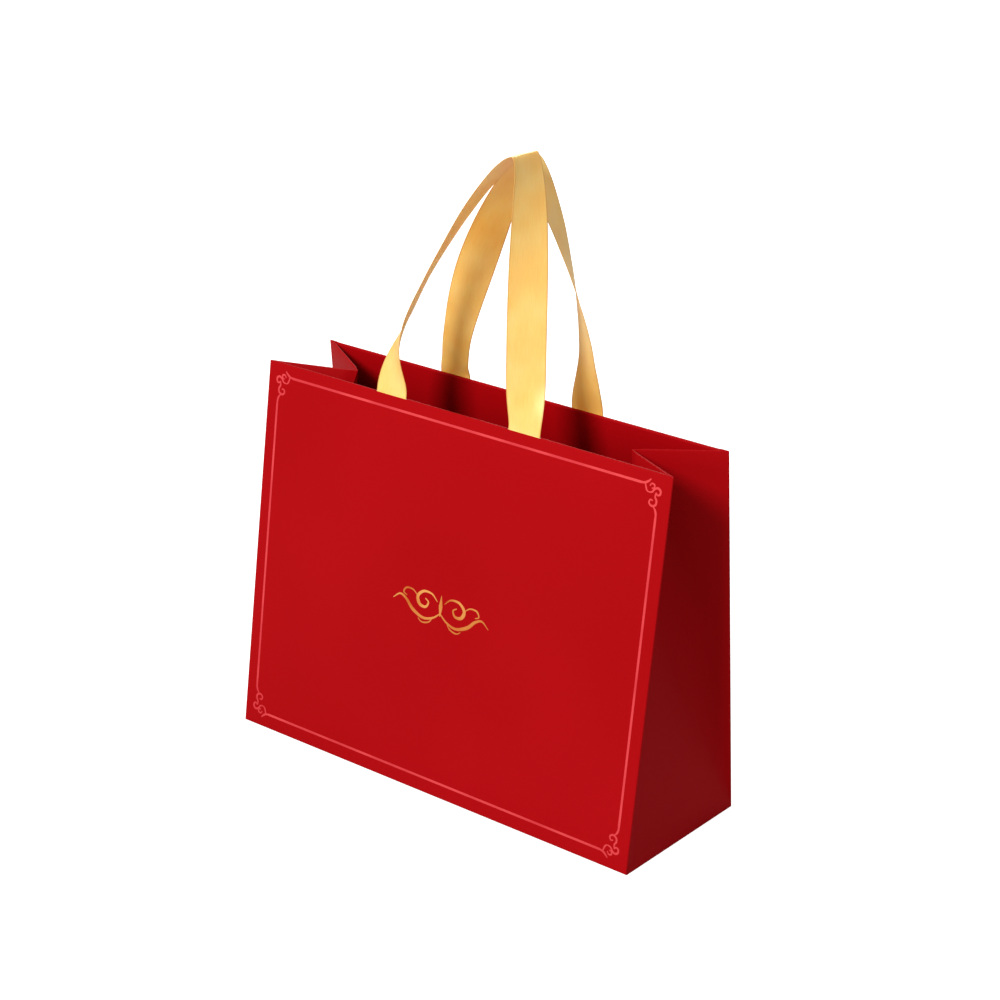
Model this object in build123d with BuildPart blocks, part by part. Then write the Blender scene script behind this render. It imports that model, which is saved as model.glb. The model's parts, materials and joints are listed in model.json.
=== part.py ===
"""Landscape paper gift bag with pushed-in gussets, card-backed hems and two satin ribbon handles.

Frame: millimetres, +Z up, +X along the wide panels, the front panel faces -Y.
The origin is the middle of the underside, on the surface that the bag stands on.
"""
import os
from math import acos, asin, cos, radians, sin

from build123d import *

# Bag shell, measured on the inner faces where it folds
bag_width = 330.0
base_depth = 120.0
panel_height = 260.0
mouth_gap = 60.0
paper = 0.4
crease_gap = 0.3
diagonal_gap = 0.6

# Top hems and the cards inside them
hem_height = 40.0
hem_end_gap = 9.0
card_height = 36.0
card_thickness = 1.0
slot_clearance = 0.3
gusset_hem_root = 4.0

# Bottom flaps, base board and seam
long_flap_depth = 78.0
short_flap_length = 55.0
flap_taper = 6.0
board_thickness = 1.5
board_corner = 1.5
board_clearance = 2.0
seam_flap_width = 15.0
seam_flap_root = 1.5

# Ribbon handles
ribbon_width = 25.0
ribbon_thickness = 0.5
ribbon_spacing = 109.0
front_ribbon_shift = -3.0
back_ribbon_shift = 2.0
tail_length = 30.0
root_rise = 1.0
end_gap = 0.15
apex_gap = 1.0
slot_cut = 0.8
front_apex_x = 32.5
back_apex_x = 15.0
front_rise = 171.0
back_rise = 161.0
leg_start = 25.0
loft_shares = (0, 0.08, 0.16, 0.25, 0.38, 0.5, 0.62, 0.74, 0.84, 0.92, 0.97, 1)

# The left and right leg of each loop: the height of its lead above the slot, how far the lead bows
# sideways and leans inwards, the reach of the rounding at the top, its first turn in degrees, and the
# shares of its length at which that turn ends and the second one starts
front_legs = ((42.0, -5.0, -6.0, -22.5, 64.0, 0.44, 0.46), (60.0, -13.5, 4.5, 11.0, 39.5, 0.36, 0.39))
back_legs = ((60.0, 17.5, 16.0, -10.0, -8.0, 0.10, 0.20), (60.0, 22.0, 11.0, 10.0, 29.0, 0.32, 0.20))

# Foil print
foil = 0.1
frame_margin = 9.0
frame_line = 2.0
motif_width = 80.0
motif_height = 24.0
motif_line = 2.0
motif_centre = 128.0

half_width = bag_width / 2 - paper
half_depth = base_depth / 2 - paper
crease_level = paper
pocket = ribbon_thickness
hem_depth = pocket + card_thickness
anchor = ribbon_spacing / 2
hem_length = 2 * (half_width - hem_end_gap)

# The paper can't stretch, so the panels' lean sets how far the gusset's middle folds in.
lean = asin((half_depth - mouth_gap / 2) / panel_height)
fold_in = acos((1 - half_depth / panel_height * sin(lean)) / cos(lean))
tip_inset = panel_height * sin(fold_in)
tip_height = crease_level + panel_height * cos(fold_in)
mouth_height = crease_level + panel_height * cos(lean)

os.makedirs("parts", exist_ok=True)


def save(piece, name):
    """Label a finished piece and write it to its own file."""
    piece.part.label = name
    export_step(piece.part, f"parts/{name}.step")


def panel_plane(side):
    """Inner face of a wide panel: x along it, y up its slope, z outwards. side is -1 front, +1 back."""
    origin = (0, side * half_depth, crease_level)
    return Plane(origin=origin, x_dir=(-side, 0, 0), z_dir=(0, side * cos(lean), sin(lean)))


def panel(side):
    """One wide panel, with its outer face in line with the base's edge."""
    with BuildPart() as sheet:
        with BuildSketch(panel_plane(side)):
            with Locations((0, panel_height / 2)):
                Rectangle(2 * half_width, panel_height)
        extrude(amount=paper)
    return sheet


def ribbon_places(side, shift):
    """The two ribbon centres along a panel plane's own x."""
    return [(-side * (shift + end * anchor)) for end in (-1, 1)]


def hem(side, shift):
    """Turned-in top edge: a strip over the card and behind it, slotted for the ribbons."""
    plane = panel_plane(side)
    with BuildPart() as strip:
        with BuildSketch(plane.offset(-hem_depth)):
            with Locations((0, panel_height - hem_height / 2)):
                Rectangle(hem_length, hem_height)
        extrude(amount=-paper)
        with BuildSketch(plane):
            with Locations((0, panel_height - paper / 2)):
                Rectangle(hem_length, paper)
        extrude(amount=-hem_depth)
        with BuildSketch(plane):
            with Locations([(place, panel_height) for place in ribbon_places(side, shift)]):
                Rectangle(ribbon_width + 2 * slot_clearance, 2 * slot_cut)
        extrude(amount=-(pocket + slot_clearance), mode=Mode.SUBTRACT)
    return strip


def reinforcement_card(side):
    """Stiff card inside the hem, behind the ribbon tails."""
    with BuildPart() as card:
        with BuildSketch(panel_plane(side).offset(-pocket)):
            with Locations((0, panel_height - paper - card_height / 2)):
                Rectangle(hem_length, card_height)
        extrude(amount=-card_thickness)
    return card


def ribbon_tails(side, shift):
    """The glued ends of one handle's ribbon, which come out of the slots."""
    top = panel_height + root_rise - end_gap
    bottom = panel_height - paper - tail_length
    with BuildPart() as tails:
        with BuildSketch(panel_plane(side)):
            with Locations([(place, (top + bottom) / 2) for place in ribbon_places(side, shift)]):
                Rectangle(ribbon_width, top - bottom)
        extrude(amount=-ribbon_thickness)
    return tails


def ease(x):
    """Smooth step from 0 to 1."""
    x = min(max(x, 0), 1)
    return x * x * (3 - 2 * x)


def bezier(points, t):
    """Point and direction on a smooth curve over any number of control points."""
    while len(points) > 2:
        points = [near + (far - near) * t for near, far in zip(points, points[1:])]
    near, far = points
    return near + (far - near) * t, (far - near).normalized()


def leg_sections(side, place, shape, apex):
    """Points, directions and turns up one leg: straight out of its slot, then over to the apex."""
    lead_rise, bow, lean_in, reach, first_turn, first_end, second_start = shape
    plane = panel_plane(side)
    root_level = panel_height + root_rise + end_gap
    root = plane.from_local_coords(Vector(place, root_level, -ribbon_thickness / 2))
    upright = root + plane.y_dir * leg_start
    lead = root + plane.y_dir * lead_rise - plane.z_dir * lean_in + Vector(bow, 0, 0)
    points = [root, upright, lead, apex + Vector(reach, 0, 0), apex]
    sections = []
    for t in loft_shares:
        turn = first_turn * ease(t / first_end)
        turn += (90 - first_turn) * ease((t - second_start) / (1 - second_start))
        sections.append((*bezier(points, t), turn))
    return sections


def ribbon_loop(side, shift, rise, apex_x, legs):
    """One handle: a ribbon that leaves two slots, twists a quarter turn and meets at the top."""
    apex = Vector(apex_x, side * (ribbon_width + apex_gap) / 2, mouth_height + rise)
    left, right = sorted(ribbon_places(side, shift), key=lambda place: -side * place)
    sections = leg_sections(side, left, legs[0], apex)
    falling = leg_sections(side, right, legs[1], apex)
    sections += [(place, -along, 180 - turn) for place, along, turn in reversed(falling[:-1])]
    with BuildPart() as loop:
        for place, along, turn in sections:
            across = Vector(cos(radians(turn)), side * sin(radians(turn)), 0)
            across = across - along * across.dot(along)
            with BuildSketch(Plane(origin=place, x_dir=across, z_dir=along)):
                Rectangle(ribbon_width, ribbon_thickness)
        loft(ruled=True)
    return loop


def foil_frame(side):
    """Printed line round a panel."""
    with BuildPart() as line:
        with BuildSketch(panel_plane(side).offset(paper)):
            with Locations((0, panel_height / 2)):
                Rectangle(2 * (half_width - frame_margin), panel_height - 2 * frame_margin)
                offset(amount=-frame_line, kind=Kind.INTERSECTION, mode=Mode.SUBTRACT)
        extrude(amount=foil)
    return line


def foil_motif(side):
    """Printed ornament in the middle of a panel."""
    with BuildPart() as ornament:
        with BuildSketch(panel_plane(side).offset(paper)):
            with Locations((0, motif_centre)):
                Ellipse(motif_width / 2, motif_height / 2)
                Ellipse(motif_width / 2 - motif_line, motif_height / 2 - motif_line, mode=Mode.SUBTRACT)
        extrude(amount=foil)
    return ornament


def gusset_centre(end):
    """Triangle that stands on the base and tips in. end is -1 left, +1 right."""
    normal = (end * cos(fold_in), 0, sin(fold_in))
    plane = Plane(origin=(end * half_width, 0, crease_level), x_dir=(0, end, 0), z_dir=normal)
    with BuildPart() as facet:
        with BuildSketch(plane):
            with BuildLine():
                Polyline((-half_depth, 0), (half_depth, 0), (0, panel_height), close=True)
            make_face()
            offset(amount=-diagonal_gap, kind=Kind.INTERSECTION, mode=Mode.REPLACE)
        extrude(amount=paper)
    return facet


def side_facet_plane(end, side):
    """Inner face of a folding side facet: x up the panel's edge, z outwards."""
    foot = Vector(end * half_width, side * half_depth, crease_level)
    corner = foot + Vector(0, -side * sin(lean), cos(lean)) * panel_height
    tip = Vector(end * (half_width - tip_inset), 0, tip_height)
    edge = corner - foot
    normal = edge.cross(tip - foot) * (end * side)
    return Plane(origin=foot, x_dir=edge, z_dir=normal)


def side_facet(end, side):
    """Triangle between a wide panel and the gusset's centre."""
    inwards = end * side
    with BuildPart() as facet:
        with BuildSketch(side_facet_plane(end, side)):
            with BuildLine():
                corners = [(0, 0), (panel_height, 0), (panel_height, inwards * half_depth)]
                Polyline(*corners, close=True)
            make_face()
            offset(amount=-diagonal_gap, kind=Kind.INTERSECTION, mode=Mode.REPLACE)
        extrude(amount=paper)
    return facet


def gusset_hem(end, side):
    """Turned-in top strip of a side facet."""
    inwards = end * side
    low = panel_height - hem_height
    corners = [(low, gusset_hem_root), (panel_height, gusset_hem_root)]
    corners += [(panel_height, half_depth), (low, half_depth * low / panel_height)]
    with BuildPart() as strip:
        with BuildSketch(side_facet_plane(end, side)):
            with BuildLine():
                Polyline(*[(up, inwards * across) for up, across in corners], close=True)
            make_face()
            offset(amount=-diagonal_gap, kind=Kind.INTERSECTION, mode=Mode.REPLACE)
        extrude(amount=-paper)
    return strip


def flap(root, outer_half, reach, direction, level):
    """Tapered bottom flap that starts at root and runs reach along direction, in the layer at level."""
    across = Vector(-direction.Y, direction.X, 0)
    near = root + crease_gap
    far = root + reach
    corners = [(near, outer_half), (far, outer_half - flap_taper)]
    corners += [(far, -outer_half + flap_taper), (near, -outer_half)]
    with BuildPart() as layer:
        with BuildSketch(Plane.XY.offset(level)):
            with BuildLine():
                places = [direction * along + across * out for along, out in corners]
                Polyline(*[(place.X, place.Y) for place in places], close=True)
            make_face()
        extrude(amount=paper)
    return layer


panels = {"front": -1, "back": 1}
gussets = {"left": -1, "right": 1}

front_loop = ribbon_loop(-1, front_ribbon_shift, front_rise, front_apex_x, front_legs)
save(front_loop, "front_ribbon_loop")
back_loop = ribbon_loop(1, back_ribbon_shift, back_rise, back_apex_x, back_legs)
save(back_loop, "back_ribbon_loop")

for name, side in panels.items():
    shift = front_ribbon_shift if side < 0 else back_ribbon_shift
    save(panel(side), f"{name}_panel")
    save(hem(side, shift), f"{name}_hem")
    save(reinforcement_card(side), f"{name}_reinforcement_card")
    save(ribbon_tails(side, shift), f"{name}_ribbon_tails")
    save(foil_frame(side), f"{name}_foil_frame")
    save(foil_motif(side), f"{name}_foil_motif")
    for gusset, end in gussets.items():
        save(side_facet(end, side), f"{gusset}_gusset_{name}_facet")
        save(gusset_hem(end, side), f"{gusset}_gusset_{name}_hem")

for gusset, end in gussets.items():
    save(gusset_centre(end), f"{gusset}_gusset_centre")
    inner_half = half_depth - crease_gap
    save(flap(-half_width, inner_half, short_flap_length, Vector(-end, 0, 0), 2 * paper),
         f"{gusset}_bottom_flap")

flap_half = half_width - crease_gap
save(flap(-half_depth, flap_half, long_flap_depth, Vector(0, 1, 0), paper), "front_bottom_flap")
save(flap(-half_depth, flap_half, long_flap_depth, Vector(0, -1, 0), 0), "back_bottom_flap")

with BuildPart() as base_board:
    with BuildSketch(Plane.XY.offset(3 * paper)):
        RectangleRounded(2 * (half_width - board_clearance), 2 * (half_depth - board_clearance),
                         board_corner)
    extrude(amount=board_thickness)
save(base_board, "base_board")

with BuildPart() as side_seam_flap:
    seam_low = 3 * paper + board_thickness + board_clearance
    seam_high = panel_height - hem_height - crease_gap
    with BuildSketch(panel_plane(1)):
        with Locations((half_width - seam_flap_root - seam_flap_width / 2, (seam_low + seam_high) / 2)):
            Rectangle(seam_flap_width, seam_high - seam_low)
    extrude(amount=-paper)
save(side_seam_flap, "side_seam_flap")
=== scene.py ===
import json
from itertools import product
from math import acos, atan2, cos, radians, sin

import bmesh
import bpy
from mathutils import Matrix, Vector, noise


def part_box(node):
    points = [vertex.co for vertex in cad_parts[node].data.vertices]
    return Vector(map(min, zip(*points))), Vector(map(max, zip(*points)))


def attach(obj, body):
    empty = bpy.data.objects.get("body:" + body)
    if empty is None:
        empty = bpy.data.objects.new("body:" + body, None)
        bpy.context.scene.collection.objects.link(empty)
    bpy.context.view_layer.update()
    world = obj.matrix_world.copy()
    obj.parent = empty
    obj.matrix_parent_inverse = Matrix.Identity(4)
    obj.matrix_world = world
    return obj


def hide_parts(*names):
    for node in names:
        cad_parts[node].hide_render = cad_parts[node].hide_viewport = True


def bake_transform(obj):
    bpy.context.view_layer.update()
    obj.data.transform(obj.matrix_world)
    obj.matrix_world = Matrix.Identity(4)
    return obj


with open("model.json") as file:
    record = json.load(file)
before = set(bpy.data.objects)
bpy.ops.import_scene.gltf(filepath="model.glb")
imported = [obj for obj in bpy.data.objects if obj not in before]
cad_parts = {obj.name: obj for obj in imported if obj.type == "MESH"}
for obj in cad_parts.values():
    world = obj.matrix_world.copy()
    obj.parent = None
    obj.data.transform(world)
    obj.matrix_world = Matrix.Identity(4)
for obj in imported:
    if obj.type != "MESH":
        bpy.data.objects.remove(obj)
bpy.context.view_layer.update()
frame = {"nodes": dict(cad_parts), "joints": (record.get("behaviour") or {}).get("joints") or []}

# ---------------------------------------------------------------- sizes, taken from the frame
MM = 0.001
joints = {joint["name"]: joint for joint in frame["joints"]}
half_width = joints["right_gusset_unfold"]["pos_m"][0]
half_depth = -joints["mouth_open"]["pos_m"][1]
crease_level = joints["mouth_open"]["pos_m"][2]
edge_axis = joints["left_front_facet_unfold"]["axis"]
lean = atan2(abs(edge_axis[1]), abs(edge_axis[2]))
paper = crease_level
panel_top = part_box("front_panel")[1].z
panel_height = (panel_top - crease_level - paper * sin(lean)) / cos(lean)
fold_in = acos((1 - half_depth / panel_height * sin(lean)) / cos(lean))
tip_in = panel_height * sin(fold_in)
tip_up = panel_height * cos(fold_in)
bag_width = 2 * (half_width + paper)

# Turned-in top edges: the gap inside the fold over the card, at a wall's corners, on a gusset's facets
# and at their ends; where from a corner the gap starts to widen and is full, on a wall and on a facet;
# and the height over which the hem's end comes back to the wall
hem_height = 40 * MM
hem_depth = 1.9 * MM
corner_depth = 0.25 * MM
facet_hem_depth = 1.1 * MM
facet_point_depth = 0.02 * MM
hem_taper = (4 * MM, 9 * MM)
facet_taper = 9 * MM
glue_ramp = 3.5 * MM

# How far the paper turns in under the bag, and how far a wide wall bows out
foot_lip = 0.9 * MM
wall_bow = 1.0 * MM

# Soft bend at a gusset's slanting crease: its widest reach, and its share of the narrower facet
widest_bend = 26 * MM
bend_share = 0.8

# Ribbon, how far out from the wall's inner face it runs, and the slot it passes through, which is cut
# from above the wall's top edge to below it
ribbon_width = 25 * MM
ribbon_half_thickness = 0.16 * MM
ribbon_out = -0.25 * MM
slot_half = ribbon_width / 2 + 0.4 * MM
slot_near = ribbon_out + 0.23 * MM
slot_far = ribbon_out - 0.37 * MM
slot_below = 3 * MM
slot_above = 2 * MM

SIDES = {"front": -1, "back": 1}
ENDS = {"left": -1, "right": 1}


def ease(x):
    """Smooth step from 0 to 1."""
    x = min(max(x, 0.0), 1.0)
    return x * x * (3 - 2 * x)


def mix(a, b, share):
    """a to b by share."""
    return a + (b - a) * share


# ---------------------------------------------------------------- camera and light
def aim(azimuth, elevation, roll):
    """Rotation that looks from that azimuth and elevation towards the object, tilted by roll."""
    back = Vector((sin(azimuth) * cos(elevation), -cos(azimuth) * cos(elevation), sin(elevation)))
    right = Vector((cos(azimuth), sin(azimuth), 0))
    up = back.cross(right)
    tilted_right = right * cos(roll) + up * sin(roll)
    tilted_up = up * cos(roll) - right * sin(roll)
    return Matrix((tilted_right, tilted_up, back)).transposed().to_4x4()


camera_lens = 87.84
camera_place = Vector((2.7838, -3.5324, 2.3539)) * bag_width
camera_azimuth = radians(37.917)
camera_elevation = radians(21.509)
camera_roll = radians(1.4725)
farthest_seen = 50


def make_camera():
    """Long lens from the front right, a little above the bag."""
    data = bpy.data.cameras.new("camera")
    data.lens = camera_lens
    data.clip_end = farthest_seen
    camera = bpy.data.objects.new("camera", data)
    turn = aim(camera_azimuth, camera_elevation, camera_roll)
    camera.matrix_world = Matrix.Translation(camera_place) @ turn
    bpy.context.scene.collection.objects.link(camera)
    bpy.context.scene.camera = camera


# Soft boxes and room: both boxes face the middle of the bag
lit_spot = Vector((0, 0, 0.2))
key_place = lit_spot + Vector((-0.03, -0.83, 0.56)).normalized() * 4
key_size, key_power = 1.1, 152
rim_place = Vector((-1.3, 1.9, 1.9))
rim_size, rim_power = 0.9, 38
lamp_colour = (1.0, 0.98, 0.95)
room_colour = (1.0, 0.99, 0.98, 1)
room_strength = 0.54


def make_area_light(name, place, size, power):
    """Square soft box at place."""
    data = bpy.data.lights.new(name, "AREA")
    data.size = size
    data.energy = power
    data.color = lamp_colour
    light = bpy.data.objects.new(name, data)
    turn = (place - lit_spot).normalized().to_track_quat("Z", "Y")
    light.matrix_world = Matrix.Translation(place) @ turn.to_matrix().to_4x4()
    bpy.context.scene.collection.objects.link(light)


def show_backdrop(tree, lit, shown, output):
    """Sends one shader to the lens and lets another light the object."""
    light_path = tree.nodes.new("ShaderNodeLightPath")
    switch = tree.nodes.new("ShaderNodeMixShader")
    tree.links.new(light_path.outputs["Is Camera Ray"], switch.inputs[0])
    tree.links.new(lit.outputs[0], switch.inputs[1])
    tree.links.new(shown.outputs[0], switch.inputs[2])
    tree.links.new(switch.outputs[0], output.inputs["Surface"])


def make_lights():
    """A firm key from the front, a weaker light from behind, and a pale room around them."""
    make_area_light("key", key_place, key_size, key_power)
    make_area_light("rim", rim_place, rim_size, rim_power)
    world = bpy.data.worlds.new("studio")
    world.use_nodes = True
    tree = world.node_tree
    room = tree.nodes["Background"]
    room.inputs["Color"].default_value = room_colour
    room.inputs["Strength"].default_value = room_strength
    backdrop = tree.nodes.new("ShaderNodeBackground")
    backdrop.inputs["Color"].default_value = (1, 1, 1, 1)
    backdrop.inputs["Strength"].default_value = 1.0
    show_backdrop(tree, room, backdrop, tree.nodes["World Output"])
    bpy.context.scene.world = world
    bpy.context.scene.view_settings.view_transform = "Standard"


make_camera()
make_lights()


# ---------------------------------------------------------------- node helpers
def new_group(name, inputs, outputs):
    """Empty shader node group; inputs and outputs give each socket's name and kind."""
    group = bpy.data.node_groups.new(name, "ShaderNodeTree")
    for way, sockets in (("INPUT", inputs), ("OUTPUT", outputs)):
        for label, kind in sockets.items():
            group.interface.new_socket(label, in_out=way, socket_type=f"NodeSocket{kind}")
    return group, group.nodes.new("NodeGroupInput"), group.nodes.new("NodeGroupOutput")


def math_node(tree, operation, a, b):
    """Math node; a and b are numbers or sockets."""
    node = tree.nodes.new("ShaderNodeMath")
    node.operation = operation
    for socket, value in zip(node.inputs, (a, b)):
        if isinstance(value, (int, float)):
            socket.default_value = value
        else:
            tree.links.new(value, socket)
    return node.outputs[0]


def weighted_sum(tree, *terms):
    """Sum of masks, each given with its weight."""
    scaled = [math_node(tree, "MULTIPLY", mask, weight) for mask, weight in terms]
    total = scaled[0]
    for term in scaled[1:]:
        total = math_node(tree, "ADD", total, term)
    return total


def noise_node(tree, vector, scale, detail, roughness=0.5):
    """Noise texture's value at that scale."""
    node = tree.nodes.new("ShaderNodeTexNoise")
    node.inputs["Scale"].default_value = scale
    node.inputs["Detail"].default_value = detail
    node.inputs["Roughness"].default_value = roughness
    tree.links.new(vector, node.inputs["Vector"])
    return node.outputs["Fac"]


def make_grain_group():
    """Fibrous grain: a height and a slow mottling mask."""
    group, given, out = new_group(
        "fibre_grain",
        {"Vector": "Vector", "Fine scale": "Float", "Mottle scale": "Float"},
        {"Height": "Float", "Mottle": "Float"},
    )
    fine = group.nodes.new("ShaderNodeTexNoise")
    fine.inputs["Detail"].default_value = 4.0
    coarse = group.nodes.new("ShaderNodeTexNoise")
    coarse.inputs["Detail"].default_value = 1.0
    for node, scale in ((fine, "Fine scale"), (coarse, "Mottle scale")):
        group.links.new(given.outputs["Vector"], node.inputs["Vector"])
        group.links.new(given.outputs[scale], node.inputs["Scale"])
    group.links.new(fine.outputs["Fac"], out.inputs["Height"])
    group.links.new(coarse.outputs["Fac"], out.inputs["Mottle"])
    return group


grain_group = make_grain_group()


def new_material(name):
    """Material with its Principled BSDF and node tree."""
    material = bpy.data.materials.new(name)
    material.use_nodes = True
    return material, material.node_tree, material.node_tree.nodes["Principled BSDF"]


def colour_ramp(tree, factor, stops):
    """Colour ramp fed by factor; stops are (position, colour)."""
    node = tree.nodes.new("ShaderNodeValToRGB")
    ramp = node.color_ramp
    while len(ramp.elements) < len(stops):
        ramp.elements.new(0.5)
    for element, (position, colour) in zip(ramp.elements, stops):
        element.position = position
        element.color = (*colour, 1)
    tree.links.new(factor, node.inputs["Fac"])
    return node.outputs["Color"]


def bump(tree, shader, height, strength, distance):
    """Bump from a height socket into the shader's normal."""
    node = tree.nodes.new("ShaderNodeBump")
    node.inputs["Strength"].default_value = strength
    node.inputs["Distance"].default_value = distance
    tree.links.new(height, node.inputs["Height"])
    tree.links.new(node.outputs["Normal"], shader.inputs["Normal"])


def object_coordinates(tree):
    """Object coordinates, in metres in the bag's own frame."""
    return tree.nodes.new("ShaderNodeTexCoord").outputs["Object"]


def place_grain(tree, vector, fine_scale, mottle_scale):
    """The shared grain group, set for one material."""
    node = tree.nodes.new("ShaderNodeGroup")
    node.node_tree = grain_group
    node.inputs["Fine scale"].default_value = fine_scale
    node.inputs["Mottle scale"].default_value = mottle_scale
    tree.links.new(vector, node.inputs["Vector"])
    return node.outputs["Height"], node.outputs["Mottle"]


def roughness_range(tree, shader, mask, low, high):
    """Roughness that follows a mask from low to high."""
    node = tree.nodes.new("ShaderNodeMapRange")
    node.inputs["To Min"].default_value = low
    node.inputs["To Max"].default_value = high
    tree.links.new(mask, node.inputs["Value"])
    tree.links.new(node.outputs["Result"], shader.inputs["Roughness"])


def laminated_paper():
    """Red art paper under a matt film: even colour, a trace of fibre and a soft wide highlight."""
    material, tree, shader = new_material("laminated_paper")
    height, mottle = place_grain(tree, object_coordinates(tree), 1300, 9)
    colour = colour_ramp(tree, mottle, [(0.3, (0.318, 0.0014, 0.0030)), (0.7, (0.340, 0.0019, 0.0039))])
    tree.links.new(colour, shader.inputs["Base Color"])
    roughness_range(tree, shader, height, 0.42, 0.52)
    shader.inputs["Specular IOR Level"].default_value = 0.03
    bump(tree, shader, height, 0.18, 0.0001)
    return material


def paper_core():
    """Pale raw edge of the cut paper."""
    material, tree, shader = new_material("paper_core")
    height, mottle = place_grain(tree, object_coordinates(tree), 2500, 300)
    colour = colour_ramp(tree, mottle, [(0.35, (0.74, 0.62, 0.58)), (0.65, (0.83, 0.76, 0.72))])
    tree.links.new(colour, shader.inputs["Base Color"])
    shader.inputs["Roughness"].default_value = 0.9
    bump(tree, shader, height, 0.3, 0.0001)
    return material


def grey_board():
    """Recycled board with darker and lighter fibres."""
    material, tree, shader = new_material("grey_board")
    vector = object_coordinates(tree)
    height, mottle = place_grain(tree, vector, 1600, 60)
    flecks = noise_node(tree, vector, 700, 6, 0.8)
    share = weighted_sum(tree, (flecks, 0.7), (mottle, 0.3))
    stops = [(0.34, (0.20, 0.18, 0.16)), (0.5, (0.36, 0.34, 0.31)), (0.66, (0.52, 0.50, 0.46))]
    tree.links.new(colour_ramp(tree, share, stops), shader.inputs["Base Color"])
    shader.inputs["Roughness"].default_value = 0.92
    bump(tree, shader, height, 0.5, 0.0002)
    return material


def foil(name, dark, light, roughness):
    """Hot-stamped metal film, mirror-like but broken up by the paper under it."""
    material, tree, shader = new_material(name)
    height, mottle = place_grain(tree, object_coordinates(tree), 1100, 45)
    tree.links.new(colour_ramp(tree, mottle, [(0.35, dark), (0.65, light)]), shader.inputs["Base Color"])
    roughness_range(tree, shader, height, roughness - 0.08, roughness + 0.08)
    shader.inputs["Metallic"].default_value = 0.35
    shader.inputs["Specular IOR Level"].default_value = 0.2
    bump(tree, shader, height, 0.25, 0.0001)
    return material


def thread_wave(tree, uv, direction, scale, distortion):
    """Threads as fine bands that follow each other along X or Y of the ribbon."""
    node = tree.nodes.new("ShaderNodeTexWave")
    node.wave_type = "BANDS"
    node.bands_direction = direction
    node.inputs["Scale"].default_value = scale
    node.inputs["Distortion"].default_value = distortion
    tree.links.new(uv, node.inputs["Vector"])
    return node.outputs["Fac"]


def corded_edge(tree, uv, cloth):
    """The cloth's colour, darkened to the cord's in a narrow band along both edges of the ribbon."""
    cord_inside, cord_full = 0.466, 0.480
    split = tree.nodes.new("ShaderNodeSeparateXYZ")
    tree.links.new(uv, split.inputs[0])
    cord = tree.nodes.new("ShaderNodeMapRange")
    cord.interpolation_type = "SMOOTHSTEP"
    cord.inputs["From Min"].default_value = ribbon_width * cord_inside
    cord.inputs["From Max"].default_value = ribbon_width * cord_full
    tree.links.new(math_node(tree, "ABSOLUTE", split.outputs["X"], 0), cord.inputs["Value"])
    edging = tree.nodes.new("ShaderNodeMix")
    edging.data_type = "RGBA"
    edging.inputs["B"].default_value = (0.66, 0.36, 0.085, 1)
    tree.links.new(cord.outputs["Result"], edging.inputs["Factor"])
    tree.links.new(cloth, edging.inputs["A"])
    return edging.outputs["Result"]


def satin():
    """Warp-faced satin: long silky floats along the ribbon, a fine cross rib, a corded edge, and painted
    highlight patches of sheen in its colour.
    """
    material, tree, shader = new_material("gold_satin")
    uv = tree.nodes.new("ShaderNodeTexCoord").outputs["UV"]
    warp = thread_wave(tree, uv, "X", 900, 0.6)
    weft = thread_wave(tree, uv, "Y", 620, 0.8)
    stretch = tree.nodes.new("ShaderNodeMapping")
    stretch.inputs["Scale"].default_value = (1, 0.06, 1)
    tree.links.new(uv, stretch.inputs["Vector"])
    streaks = noise_node(tree, stretch.outputs["Vector"], 1500, 3, 0.6)
    # Slow noise: painted highlight, paler and deeper patches that copy the satin's sheen bands, laid at
    # random along the ribbon
    painted_sheen_patches = noise_node(tree, uv, 38, 1)
    height = weighted_sum(tree, (warp, 0.55), (weft, 0.3), (streaks, 0.5))
    # Cloth colour: the warp streaks are the thread's own tone, mixed with the painted sheen patches; the
    # ramp's pale end is painted highlight
    thread_and_sheen_tone = weighted_sum(tree, (streaks, 0.4), (painted_sheen_patches, 0.6))
    stops = [(0.3, (0.93, 0.460, 0.095)), (0.5, (0.96, 0.550, 0.155)), (0.7, (0.98, 0.620, 0.225))]
    cloth = colour_ramp(tree, thread_and_sheen_tone, stops)
    tree.links.new(corded_edge(tree, uv, cloth), shader.inputs["Base Color"])
    roughness_range(tree, shader, streaks, 0.32, 0.44)
    shader.inputs["Specular IOR Level"].default_value = 0.85
    shader.inputs["Specular Tint"].default_value = (1.0, 0.93, 0.72, 1)
    shader.inputs["Anisotropic"].default_value = 0.4
    shader.inputs["Subsurface Weight"].default_value = 0.45
    shader.inputs["Subsurface Scale"].default_value = 0.0015
    shader.inputs["Subsurface Radius"].default_value = (1.0, 0.6, 0.25)
    shader.inputs["Sheen Weight"].default_value = 0.12
    shader.inputs["Sheen Roughness"].default_value = 0.35
    shader.inputs["Sheen Tint"].default_value = (1.0, 0.80, 0.45, 1)
    bump(tree, shader, height, 0.18, 0.00012)
    return material


def studio_floor():
    """Plain white sweep."""
    material, tree, shader = new_material("studio_floor")
    mottle = place_grain(tree, object_coordinates(tree), 60, 2)[1]
    colour = colour_ramp(tree, mottle, [(0.3, (0.52, 0.52, 0.52)), (0.7, (0.54, 0.54, 0.54))])
    tree.links.new(colour, shader.inputs["Base Color"])
    shader.inputs["Roughness"].default_value = 0.6
    glow = tree.nodes.new("ShaderNodeEmission")
    glow.inputs["Strength"].default_value = 0.8
    sweep = tree.nodes.new("ShaderNodeAddShader")
    tree.links.new(shader.outputs[0], sweep.inputs[0])
    tree.links.new(glow.outputs[0], sweep.inputs[1])
    show_backdrop(tree, shader, sweep, tree.nodes["Material Output"])
    return material


red = laminated_paper()
core = paper_core()
board = grey_board()
gold = satin()
rose_foil = foil("rose_foil", (0.62, 0.036, 0.046), (0.72, 0.060, 0.066), 0.5)
gold_foil = foil("gold_foil", (0.52, 0.13, 0.018), (0.74, 0.33, 0.085), 0.34)


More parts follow.
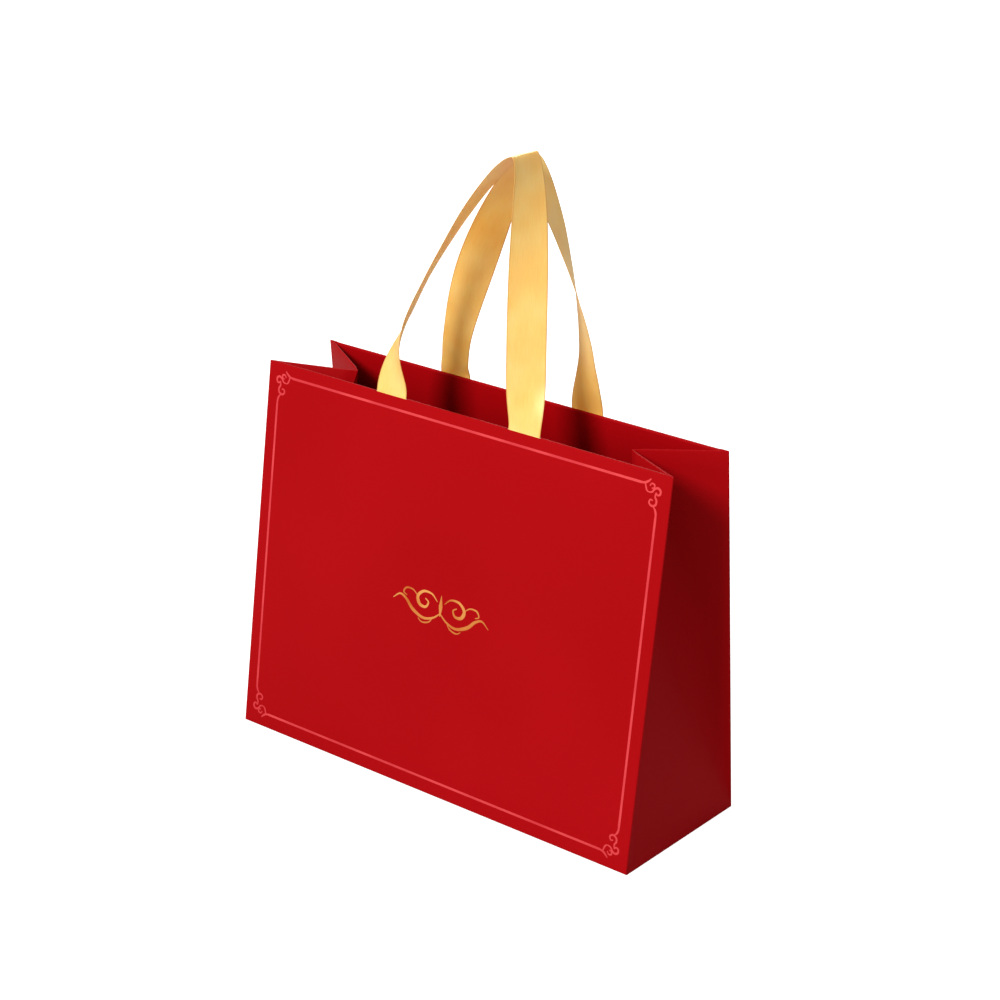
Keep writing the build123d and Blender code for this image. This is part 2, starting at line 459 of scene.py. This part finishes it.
# ---------------------------------------------------------------- mesh helpers
def new_piece(name, points, faces, materials, face_materials=None):
    """Smooth-shaded mesh object; face_materials gives the place in materials of each face."""
    mesh = bpy.data.meshes.new(name)
    mesh.from_pydata([tuple(point) for point in points], [], faces)
    for material in materials:
        mesh.materials.append(material)
    if face_materials:
        mesh.polygons.foreach_set("material_index", face_materials)
    mesh.polygons.foreach_set("use_smooth", [True] * len(mesh.polygons))
    piece = bpy.data.objects.new(name, mesh)
    bpy.context.scene.collection.objects.link(piece)
    return piece


weld_distance = 1e-6
shortest_edge = 1e-7
crease_angle = radians(35)


def tidy_mesh(piece):
    """Welds doubled points, makes the faces point outwards and keeps sharp creases sharp."""
    work = bmesh.new()
    work.from_mesh(piece.data)
    bmesh.ops.remove_doubles(work, verts=work.verts, dist=weld_distance)
    bmesh.ops.dissolve_degenerate(work, edges=work.edges, dist=shortest_edge)
    bmesh.ops.recalc_face_normals(work, faces=work.faces)
    for edge in work.edges:
        if len(edge.link_faces) == 2:
            edge.smooth = edge.calc_face_angle(0) < crease_angle
    work.to_mesh(piece.data)
    work.free()


def ring_mesh(rings):
    """Points and faces of a tube of equal rings, capped at both ends."""
    size = len(rings[0])
    faces = []
    for row in range(len(rings) - 1):
        for k in range(size):
            a, b = row * size + k, row * size + (k + 1) % size
            faces.append((a, b, b + size, a + size))
    faces.append(tuple(reversed(range(size))))
    last = (len(rings) - 1) * size
    faces.append(tuple(range(last, last + size)))
    return [point for ring in rings for point in ring], faces


def folded_sheet(name, rings, raw):
    """Closed sheet of paper from its cross-sections; raw marks the side that shows the paper's core."""
    points, faces = ring_mesh(rings)
    marks = raw * (len(rings) - 1) + [0, 0]
    sheet = new_piece(name, points, faces, [red, core], marks)
    tidy_mesh(sheet)
    return sheet


def apply_modifier(piece, kind, **settings):
    """Adds a modifier with these settings and applies it."""
    modifier = piece.modifiers.new(kind.lower(), kind)
    for key, value in settings.items():
        setattr(modifier, key, value)
    dependency = bpy.context.evaluated_depsgraph_get()
    mesh = bpy.data.meshes.new_from_object(piece.evaluated_get(dependency))
    piece.modifiers.clear()
    piece.data = mesh


# ---------------------------------------------------------------- the folded paper
def wall_point(side, x, up, out, bowed=True):
    """Point on a wide wall: x along it, up its slope, out from its inner face."""
    if bowed:
        height = up / panel_height
        across = max(0.0, 1 - (x / half_width) ** 2)
        out = out + wall_bow * (across * 4 * max(0.0, height * (1 - height)))
    y = side * (half_depth - up * sin(lean) + out * cos(lean))
    return Vector((x, y, crease_level + up * cos(lean) + out * sin(lean)))


def hem_profile(depth, fold_rows, wall_rows, low_round, lip=0.0):
    """Cross-section of a sheet that goes up, folds in over depth and comes down again.

    Gives (up, out) round the whole section, and 1 for the one side that is a raw edge, 0 for the rest.
    depth is the gap inside the fold, low_round the rounding at the foot, and lip how far the foot turns
    in under the bag.
    """
    outer_radius = (depth + 2 * paper) / 2
    inner_radius = depth / 2
    turn_level = panel_height - outer_radius
    hem_low = panel_height - hem_height
    hem_near, hem_far = -0.15 * paper, -1.15 * paper
    foot = -0.75 * paper if lip else 0
    ring = [(foot, -lip)] if lip else []
    for k in range(fold_rows // 2 + 1):
        angle = radians(90) * (1 - k / (fold_rows // 2))
        ring.append((mix(low_round, foot, sin(angle)), paper - low_round * (1 - cos(angle))))
    for k in range(1, wall_rows):
        ring.append((mix(low_round, turn_level, k / wall_rows), paper))
    for k in range(fold_rows + 1):
        angle = radians(180) * k / fold_rows
        ring.append((turn_level + outer_radius * sin(angle), paper - outer_radius * (1 - cos(angle))))
    ring.append((hem_low + glue_ramp, -depth - paper))
    raw_side = len(ring)
    ring += [(hem_low, hem_far), (hem_low, hem_near), (hem_low + glue_ramp, -depth)]
    for k in range(fold_rows + 1):
        angle = radians(180) * (1 - k / fold_rows)
        ring.append((turn_level + inner_radius * sin(angle), -inner_radius * (1 - cos(angle))))
    for k in range(1, wall_rows):
        ring.append((mix(turn_level, low_round, k / wall_rows), 0))
    inner_round = low_round - paper
    for k in range(fold_rows // 2 + 1):
        angle = radians(90) * k / (fold_rows // 2)
        ring.append((low_round - inner_round * sin(angle), -inner_round * (1 - cos(angle))))
    if lip:
        ring.append((low_round - inner_round, -lip))
    return ring, [int(k == raw_side) for k in range(len(ring))]


def wall_depth(x):
    """Gap inside a wall's hem: full over the card, nearly closed at the corners."""
    from_corner = half_width - abs(x)
    share = ease((from_corner - hem_taper[0]) / (hem_taper[1] - hem_taper[0]))
    return mix(corner_depth, hem_depth, share)


def make_wall(name, side):
    """Wide panel, folded over its card at the top, with two ribbon slots cut in the fold."""
    even_columns = 48
    corner_columns = (0.25, 2, 4, 5, 6, 7, 8, 9)
    fold_rows, wall_rows = 8, 14
    edge_rounding = 0.12 * MM
    low_round = 0.65 * MM
    columns = [half_width * (2 * k / even_columns - 1) for k in range(even_columns + 1)]
    for near in corner_columns:
        columns += [half_width - near * MM, near * MM - half_width]
    rings = []
    for x in sorted(set(round(x, 7) for x in columns)):
        profile, raw = hem_profile(wall_depth(x), fold_rows, wall_rows, low_round, foot_lip)
        at_edge = abs(x) > half_width - 0.1 * MM
        ring = []
        for up, out in profile:
            thinned = at_edge and out >= paper * 0.99
            ring.append(wall_point(side, x, up, out - edge_rounding if thinned else out))
        rings.append(ring)
    wall = folded_sheet(f"{name}_wall_paper", rings, raw)
    for slot_x in ribbon_centres[name]:
        cut_slot(wall, side, slot_x)
    return wall


def cut_slot(wall, side, slot_x):
    """Cuts one ribbon slot down through the top fold."""
    low, high = panel_height - slot_below, panel_height + slot_above
    outline = ((low, slot_near), (high, slot_near), (high, slot_far), (low, slot_far))
    ends = []
    for x in (slot_x - slot_half, slot_x + slot_half):
        ends.append([wall_point(side, x, up, out, False) for up, out in outline])
    points, faces = ring_mesh(ends)
    cutter = new_piece("slot_cutter", points, faces, [core])
    tidy_mesh(cutter)
    apply_modifier(wall, "BOOLEAN", object=cutter, operation="DIFFERENCE", solver="EXACT")
    bpy.data.objects.remove(cutter)


def gusset_corner(end, side):
    """Foot of one corner's slanting crease, its tip, and the level way from the wall's top edge to it."""
    foot = Vector((end * half_width, side * half_depth, crease_level))
    edge = Vector((0, -side * sin(lean), cos(lean)))
    tip = Vector((end * (half_width - tip_in), 0, crease_level + tip_up))
    to_tip = (tip - (foot + edge * panel_height)).normalized()
    return foot, tip, to_tip


def gusset_point(end, side, height, from_crease):
    """Point on the gusset's inner face. height is 0 at the base and 1 at the top.

    from_crease is measured level from the slanting crease: below 0 on the side facet and above 0 on the
    middle one. The crease itself is a soft bend, wide where both facets are wide.
    """
    foot, tip, to_tip = gusset_corner(end, side)
    crease = foot + (tip - foot) * height
    bend = min(bend_share * half_depth * height, bend_share * half_depth * (1 - height), widest_bend)
    into_side = -to_tip
    into_middle = Vector((0, -side, 0))
    if from_crease <= -bend or bend < weld_distance:
        way = into_side if from_crease < 0 else into_middle
        return crease + way * abs(from_crease)
    if from_crease >= bend:
        return crease + into_middle * from_crease
    share = (from_crease + bend) / (2 * bend)
    return crease + into_side * (bend * (1 - share) ** 2) + into_middle * (bend * share ** 2)


def gusset_normal(end, side, height, from_crease):
    """Outward normal of the gusset's inner face."""
    step = 0.2 * MM
    height_step = 0.002
    low, high = max(height - height_step, 0.001), min(height + height_step, 0.999)
    up = gusset_point(end, side, high, from_crease) - gusset_point(end, side, low, from_crease)
    ahead = gusset_point(end, side, height, from_crease + step)
    behind = gusset_point(end, side, height, from_crease - step)
    normal = up.cross(ahead - behind)
    if normal.length < 1e-12:
        return Vector((end, 0, 0))
    normal.normalize()
    return normal if normal.x * end > 0 else -normal


def make_side_facet(gusset, end, name, side):
    """Folding side facet with its turned-in top hem."""
    columns = 22
    fold_rows, wall_rows = 4, 22
    low_round = 0.5 * MM
    lowest = 0.004
    rings = []
    for column in range(columns + 1):
        share = column / columns
        ring = []
        open_share = ease(share * half_depth / facet_taper) * ease((1 - share) * half_depth / facet_taper)
        depth = mix(facet_point_depth, facet_hem_depth, open_share)
        profile, raw = hem_profile(depth, fold_rows, wall_rows, low_round)
        for up, out in profile:
            height = min(max(up / panel_height, lowest), 1.0)
            from_crease = -half_depth * height * (1 - share)
            over = max(up - panel_height, 0)
            point = gusset_point(end, side, height, from_crease)
            ring.append(point + gusset_normal(end, side, height, from_crease) * out + Vector((0, 0, over)))
        rings.append(ring)
    return folded_sheet(f"{gusset}_gusset_{name}_paper", rings, raw)


def make_gusset_middle(gusset, end):
    """Standing middle facet, between the two soft creases, with its foot turned in under the base."""
    rows = 40
    half_columns = 14
    lowest, highest = 0.002, 0.9985
    foot_rings = ((1.1 * paper, 0.0), (0.9 * paper, foot_lip), (0.05 * paper, foot_lip))
    rings = []
    for k in range(rows + 1):
        height = mix(lowest, highest, k / rows)
        outer, inner = [], []
        width = half_depth * (1 - height)
        places = [(-1, width * k / half_columns) for k in range(half_columns)]
        places += [(1, width * k / half_columns) for k in range(half_columns, -1, -1)]
        for side, from_crease in places:
            point = gusset_point(end, side, height, from_crease)
            normal = gusset_normal(end, side, height, from_crease)
            outer.append(point + normal * paper)
            inner.append(point)
        rings.append(outer + inner[::-1])
    count = len(rings[0]) // 2
    for level, lip in foot_rings:
        outer = [Vector((end * (half_width + paper), point.y, level)) for point in rings[0][:count]]
        inner = [Vector((end * (half_width - lip), point.y, level)) for point in rings[0][count:]]
        rings.insert(0, outer + inner)
    points, faces = ring_mesh(rings)
    middle = new_piece(f"{gusset}_gusset_middle_paper", points, faces, [red])
    tidy_mesh(middle)
    return middle


# ---------------------------------------------------------------- the ribbons
ribbon_centres = {}
for name in SIDES:
    low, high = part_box(f"{name}_ribbon_tails")
    ribbon_centres[name] = (low.x + ribbon_width / 2, high.x - ribbon_width / 2)

root_level = panel_height + 1.15 * MM
tail_low = panel_height - 30 * MM
tail_rows = 13
leg_rows = 70
leg_start = 25 * MM
apex_x = {"front": 32.5 * MM, "back": 15.0 * MM}

# Left and right leg of each loop: height of its lead, sideways bow, inward lean and reach at the top in
# millimetres, first turn in degrees, and the shares at which that turn ends and the second one starts
leg_shapes = {
    "front": ((42, -5, -6, -22.5, 64, 0.44, 0.46), (60, -13.5, 4.5, 11, 39.5, 0.36, 0.39)),
    "back": ((60, 17.5, 16, -10, -8, 0.10, 0.20), (60, 22, 11, 10, 29, 0.32, 0.20)),
}


def bezier(points, t):
    """Point on a smooth curve over any number of control points."""
    while len(points) > 1:
        points = [near + (far - near) * t for near, far in zip(points, points[1:])]
    return points[0]


# Places across the ribbon as shares of its half width, closer together at the corded edges
across_shares = (-1, -0.985, -0.95, -0.9, -0.7, -0.45, -0.2, 0.2, 0.45, 0.7, 0.9, 0.95, 0.985, 1)
cord_from, cord_to = 0.93, 0.99
cord_swell, selvedge_thinning = 1.25, 0.55

# Slow cupping and fine ripple of the free cloth: height, waves along the ribbon, rows to grow in
cup_height, cup_waves = 0.9 * MM, 17
ripple_height, ripple_waves = 0.25 * MM, 60
settling_rows = 20


def leg_stations(side, centre, shape, apex):
    """Places and turns up one leg: straight out of its slot, then over to the apex."""
    lead_rise, bow, lean_in, reach, first_turn, first_end, second_start = shape
    root = wall_point(side, centre, root_level, ribbon_out, False)
    upright = wall_point(side, centre, root_level + leg_start, ribbon_out, False)
    lead = wall_point(side, centre + bow * MM, root_level + lead_rise * MM, ribbon_out - lean_in * MM, False)
    points = [root, upright, lead, apex + Vector((reach * MM, 0, 0)), apex]
    stations = []
    for k in range(leg_rows + 1):
        t = k / leg_rows
        turn = first_turn * ease(t / first_end)
        turn += (90 - first_turn) * ease((t - second_start) / (1 - second_start))
        stations.append((bezier(points, t), turn))
    return stations


def tail_stations(side, centre, turn):
    """Places up one glued tail, below its slot."""
    levels = [mix(tail_low, root_level, k / tail_rows) for k in range(tail_rows)]
    return [(wall_point(side, centre, up, ribbon_out, False), turn) for up in levels]


def ribbon_stations(name):
    """Places and turns along one whole ribbon, from tail to tail."""
    side = SIDES[name]
    left, right = ribbon_centres[name]
    apex_y = side * (ribbon_width + MM) / 2
    apex = Vector((apex_x[name], apex_y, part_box(f"{name}_ribbon_loop")[1].z - ribbon_half_thickness))
    falling = leg_stations(side, right, leg_shapes[name][1], apex)
    stations = tail_stations(side, left, 0) + leg_stations(side, left, leg_shapes[name][0], apex)
    stations += [(place, 180 - turn) for place, turn in reversed(falling[:-1])]
    return stations + tail_stations(side, right, 180)[::-1]


def cloth_thickness(share):
    """Half thickness of the ribbon at a share of its half width: swollen at the cord, thin outside it."""
    if abs(share) > cord_to:
        return ribbon_half_thickness * selvedge_thinning
    return ribbon_half_thickness * (cord_swell if abs(share) > cord_from else 1.0)


def lay_ribbon_uv(ribbon, distances):
    """UV map in metres: across from the ribbon's middle, and along from its first end."""
    layer = ribbon.data.uv_layers.new(name="UVMap")
    across = [share * ribbon_width / 2 for share in across_shares]
    across += across[::-1]
    for corner, loop in zip(layer.data, ribbon.data.loops):
        row, column = divmod(loop.vertex_index, len(across))
        corner.uv = (across[column], distances[row])


def make_ribbon(name):
    """One satin ribbon with corded edges, from its glued tail over the loop to its other tail."""
    side = SIDES[name]
    stations = ribbon_stations(name)
    count = len(stations)
    rings, distances, travelled = [], [], 0.0
    for k, (place, turn) in enumerate(stations):
        before = stations[max(k - 1, 0)][0]
        after = stations[min(k + 1, count - 1)][0]
        along = (after - before).normalized()
        across = Vector((cos(radians(turn)), side * sin(radians(turn)), 0))
        across = (across - along * across.dot(along)).normalized()
        normal = across.cross(along)
        travelled += (place - before).length
        distances.append(travelled)
        rows_from_slot = min(k, count - 1 - k) - tail_rows - 1
        loose = ease(rows_from_slot / settling_rows)
        cup = cup_height * loose * noise.noise(Vector((travelled * cup_waves, side * 3.1, 0.4)))
        front, back = [], []
        for share in across_shares:
            spot = Vector((travelled * ripple_waves, share * 1.5, side * 5.0))
            lift = cup * (share * share - 0.4) + ripple_height * loose * noise.noise(spot)
            centre = place + across * (share * ribbon_width / 2) + normal * lift
            front.append(centre + normal * cloth_thickness(share))
            back.append(centre - normal * cloth_thickness(share))
        rings.append(front + back[::-1])
    points, faces = ring_mesh(rings)
    ribbon = new_piece(f"{name}_ribbon", points, faces, [gold])
    lay_ribbon_uv(ribbon, distances)
    return ribbon, travelled


# ---------------------------------------------------------------- the printed foil
foil_height = 0.07 * MM
frame_inset = 10 * MM
frame_top_inset = 8.5 * MM
frame_side_inset = 9 * MM
frame_line = 1.6 * MM
frame_spans = 24

# Corner scrolls: their unit, and the part of each frame line that they take the place of
scroll_unit = 0.80 * MM
scroll_reach_x = 15.5 * scroll_unit
scroll_reach_up = 24.5 * scroll_unit


def smooth_line(points, per_span=8):
    """Points along a smooth curve through the given ones."""
    if len(points) < 3:
        return [Vector(point) for point in points]
    places = [Vector(point) for point in points]
    places = [places[0] * 2 - places[1], *places, places[-1] * 2 - places[-2]]
    result = []
    for a, b, c, d in zip(places, places[1:], places[2:], places[3:]):
        for k in range(per_span):
            t = k / per_span
            result.append(0.5 * (2 * b + (c - a) * t + (2 * a - 5 * b + 4 * c - d) * t ** 2
                                 + (3 * b - a - 3 * c + d) * t ** 3))
    result.append(places[-2])
    return result


def stroke(side, line, widths, level):
    """Thin raised band along a line on a wall, with its widths spread evenly from end to end.

    A line's points are x along the wall and up its slope, in metres.
    """
    rings = []
    count = len(line)
    for k, place in enumerate(line):
        ahead = (line[min(k + 1, count - 1)] - line[max(k - 1, 0)]).normalized()
        beside = Vector((-ahead.y, ahead.x))
        share = k / (count - 1) * (len(widths) - 1)
        near = min(int(share), len(widths) - 2)
        half = mix(widths[near], widths[near + 1], share - near) / 2
        corners = []
        for offset, out in ((-half, 0), (half, 0), (half, level), (-half, level)):
            spot = place + beside * offset
            corners.append(wall_point(side, spot.x, spot.y, paper + out))
        rings.append(corners)
    return ring_mesh(rings)


def join_strokes(name, parts, material):
    """One piece from several strokes."""
    points, faces = [], []
    for some_points, some_faces in parts:
        shift = len(points)
        points += some_points
        faces += [tuple(index + shift for index in face) for face in some_faces]
    piece = new_piece(name, points, faces, [material])
    tidy_mesh(piece)
    return piece


def corner_scrolls():
    """Scroll lines of the top right corner, each with its widths, from the frame's own corner.

    Places are in scroll units and widths in millimetres.
    """
    return [
        ([(-16, 0), (-12.5, 0.6), (-9.5, 2.6), (-7.6, 4.6)], (1.3, 1.5, 0.7)),
        ([(-12.5, 0.4), (-11.6, -2.6), (-10.4, -5.0), (-8.6, -6.0)], (0.9, 1.2, 0.7)),
        ([(-8.6, -6.0), (-5.6, -5.2), (-3.4, -2.4), (-0.6, -1.2), (1.8, -2.8), (1.7, -5.6),
          (-0.5, -6.6), (-2.0, -5.0)], (0.8, 1.3, 1.5, 1.3, 0.8)),
        ([(-8.2, -1.0), (-6.6, 1.2), (-4.2, 0.6), (-4.2, -1.8), (-6.4, -2.4)], (0.7, 1.2, 0.7)),
        ([(-2.0, -5.0), (-2.4, -8.4), (-0.8, -11.4), (-1.4, -14.6), (-4.6, -16.0), (-7.2, -14.2),
          (-6.4, -11.4), (-4.0, -11.6)], (0.8, 1.4, 1.4, 1.2, 0.8)),
        ([(-3.2, -16.4), (-1.4, -18.2), (-0.2, -21.4), (0, -25.0)], (0.7, 1.5, 1.3)),
    ]


def make_border(name, side):
    """Frame line with a scroll in each corner."""
    reach_x = half_width - frame_side_inset
    low, high = frame_inset, panel_height - frame_top_inset
    line_x, line_up = reach_x - scroll_reach_x, high - scroll_reach_up
    shares = [k / frame_spans for k in range(frame_spans + 1)]
    lines = [[Vector((mix(-line_x, line_x, share), up)) for share in shares] for up in (low, high)]
    for x in (-reach_x, reach_x):
        lines.append([Vector((x, mix(low + scroll_reach_up, line_up, share))) for share in shares])
    parts = [stroke(side, line, (frame_line, frame_line), foil_height) for line in lines]
    for x_way, (up_way, level) in product((-1, 1), ((-1, low), (1, high))):
        for k, (shape, widths) in enumerate(corner_scrolls()):
            line = []
            for x, up in shape:
                line.append(Vector((x_way * (reach_x + x * scroll_unit), level + up_way * up * scroll_unit)))
            widths = [width * MM for width in widths]
            parts.append(stroke(side, smooth_line(line), widths, foil_height * (0.8 - 0.06 * k)))
    return join_strokes(f"{name}_foil_border", parts, rose_foil)


def make_flourish(name, side):
    """Generic penned flourish in the middle of the panel: two mirrored scrolls and a drop."""
    low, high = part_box(f"{name}_foil_motif")
    centre_up = ((low.z + high.z) / 2 - crease_level) / cos(lean)
    half = (high.x - low.x) / 2 / MM
    parts = []
    shapes = [
        ([(0, -2.0), (6, -6.5), (14, -8.5), (23, -5.0), (29, 0.5), (34.5, 2.5), (half, -1.5)],
         (0.8, 1.6, 2.4, 1.6, 0.5)),
        ([(3.0, 5.5), (8, 9.5), (15, 9.5), (19.5, 5.0), (17.5, 0.0), (12.5, -0.6), (10.4, 3.0), (13.2, 5.2)],
         (0.6, 1.6, 2.6, 1.5, 0.7)),
        ([(19.5, 5.0), (24, 8.2), (29.5, 8.0), (31.6, 4.6), (28.6, 3.0)], (0.5, 1.3, 0.6)),
        ([(6, -6.5), (9, -10.2), (14.5, -11.6), (18.0, -9.6)], (0.6, 1.1, 0.5)),
    ]
    for way in (-1, 1):
        for k, (shape, widths) in enumerate(shapes):
            line = [Vector((way * x * MM, centre_up + up * MM)) for x, up in shape]
            widths = [width * MM for width in widths]
            parts.append(stroke(side, smooth_line(line, 10), widths, foil_height * (1 - 0.05 * k)))
    drop = [Vector((0, centre_up + up * MM)) for up in (10.5, 7, 3, -1, -4)]
    drop_widths = [width * MM for width in (0.3, 1.6, 3.0, 1.8, 0.4)]
    parts.append(stroke(side, smooth_line(drop), drop_widths, foil_height * 0.7))
    return join_strokes(f"{name}_foil_flourish", parts, gold_foil)


# ---------------------------------------------------------------- build every piece
for name, side in SIDES.items():
    wall = make_wall(name, side)
    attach(wall, f"{name}_wall")
    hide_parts(f"{name}_panel", f"{name}_hem")

    border = make_border(name, side)
    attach(border, f"{name}_wall")
    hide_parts(f"{name}_foil_frame")

    flourish = make_flourish(name, side)
    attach(flourish, f"{name}_wall")
    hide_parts(f"{name}_foil_motif")

    ribbon, ribbon_length = make_ribbon(name)
    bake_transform(ribbon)
    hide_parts(f"{name}_ribbon_loop", f"{name}_ribbon_tails")

    for gusset, end in ENDS.items():
        facet = make_side_facet(gusset, end, name, side)
        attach(facet, f"{gusset}_gusset_{name}")
        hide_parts(f"{gusset}_gusset_{name}_facet", f"{gusset}_gusset_{name}_hem")

for gusset, end in ENDS.items():
    middle = make_gusset_middle(gusset, end)
    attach(middle, f"{gusset}_gusset_middle")
    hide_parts(f"{gusset}_gusset_centre")

for node, piece in frame["nodes"].items():
    finish = board if "board" in node or "card" in node else red
    if not piece.hide_render:
        piece.data.materials.clear()
        piece.data.materials.append(finish)


def make_floor():
    """Wide plain floor."""
    reach = 12
    corners = [(-reach, -reach, 0), (reach, -reach, 0), (reach, reach, 0), (-reach, reach, 0)]
    floor = new_piece("floor", corners, [(0, 1, 2, 3)], [studio_floor()])


make_floor()
